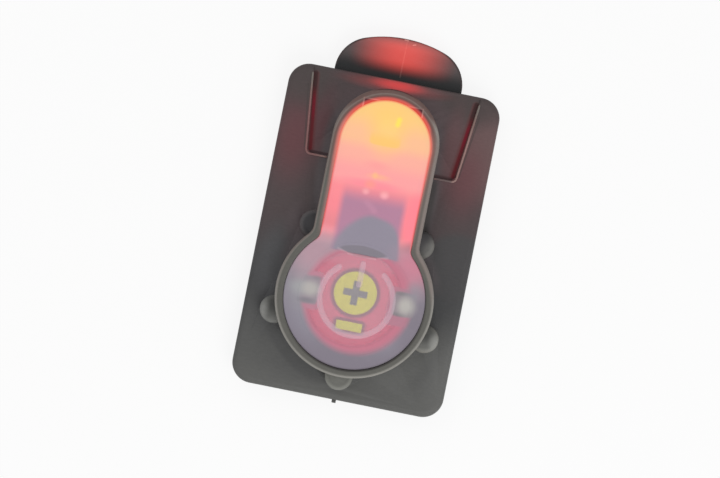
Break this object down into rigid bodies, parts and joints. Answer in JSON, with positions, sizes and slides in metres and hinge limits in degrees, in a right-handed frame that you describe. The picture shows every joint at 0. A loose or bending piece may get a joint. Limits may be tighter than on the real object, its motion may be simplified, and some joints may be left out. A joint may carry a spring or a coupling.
{
  "type": "led safety flare",
  "caption": "Flat LED safety light in a soft rubber card with a pull tab, keyhole lens, push button, coin-cell door and hook-tape back.",
  "frame": {"origin": "middle of the overall length and width, at the tips of the hook tape on the back", "axes": "+Z out of the lit front, +Y from the round head to the pull tab, +X to the right seen from the front"},
  "size_m": [0.041, 0.0708, 0.01],
  "materials": {
    "carrier": "satin dark rubber that glows red near the lens",
    "hook_tape": "nylon hook tape",
    "adhesive": "tacky film",
    "lens": "milky silicone",
    "button_pad": "milky silicone",
    "red_disc": "satin red",
    "emblem": "yellow print",
    "emblem_dark": "dark grey print",
    "inner_frame": "lavender grey",
    "board": "white solder mask",
    "led_package": "white",
    "led_phosphor": "yellow resin",
    "nickel": "nickel plate",
    "black_plastic": "fine grain",
    "chip": "moulded",
    "capacitor": "ceramic",
    "cell_steel": "bright",
    "cell_gasket": "grey green",
    "door": "fine grain",
    "seal": "smooth",
    "screw": "zinc"
  },
  "bodies": {
    "card": {"carrier": "carrier", "hook_patch": "hook_tape", "patch_adhesive": "adhesive", "lens": "lens", "inner_frame": "inner_frame", "circuit_board": "board", "led_package": "led_package", "led_dome": "led_phosphor", "positive_contacts": "nickel", "negative_contact": "nickel", "switch_body": "black_plastic", "switch_cover": "nickel", "switch_dome": "nickel", "driver_chip": "chip", "resistors": "chip", "capacitors": "capacitor", "cell_can": "cell_steel", "cell_cap": "cell_steel", "cell_gasket": "cell_gasket", "chassis": "black_plastic", "chassis_screws": "screw"},
    "button": {"button_pad": "button_pad", "button_disc": "red_disc", "emblem": "emblem", "emblem_bars": "emblem_dark", "switch_plunger": "black_plastic"},
    "seal": {"door_seal": "seal"},
    "door": {"battery_door": "door"}
  },
  "joints": [
    {"name": "button_press", "type": "slide", "parent": "card", "child": "button", "axis": [0, 0, -1], "range_m": [0, 0.0003], "stiffness_N_per_m": 4000, "deforming": ["switch_dome"]},
    {"name": "door_lift", "type": "slide", "parent": "card", "child": "seal", "axis": [0, 0, -1], "range_m": [0, 0.002]},
    {"name": "door_turn", "type": "hinge", "parent": "seal", "child": "door", "pos_m": [0, -0.01512, 0.0018], "axis": [0, 0, -1], "range_deg": [0, 720]}
  ],
  "couplings": [
    {"joint": "door_turn", "follows": "door_lift", "rad_per_m": 6283.2}
  ]
}
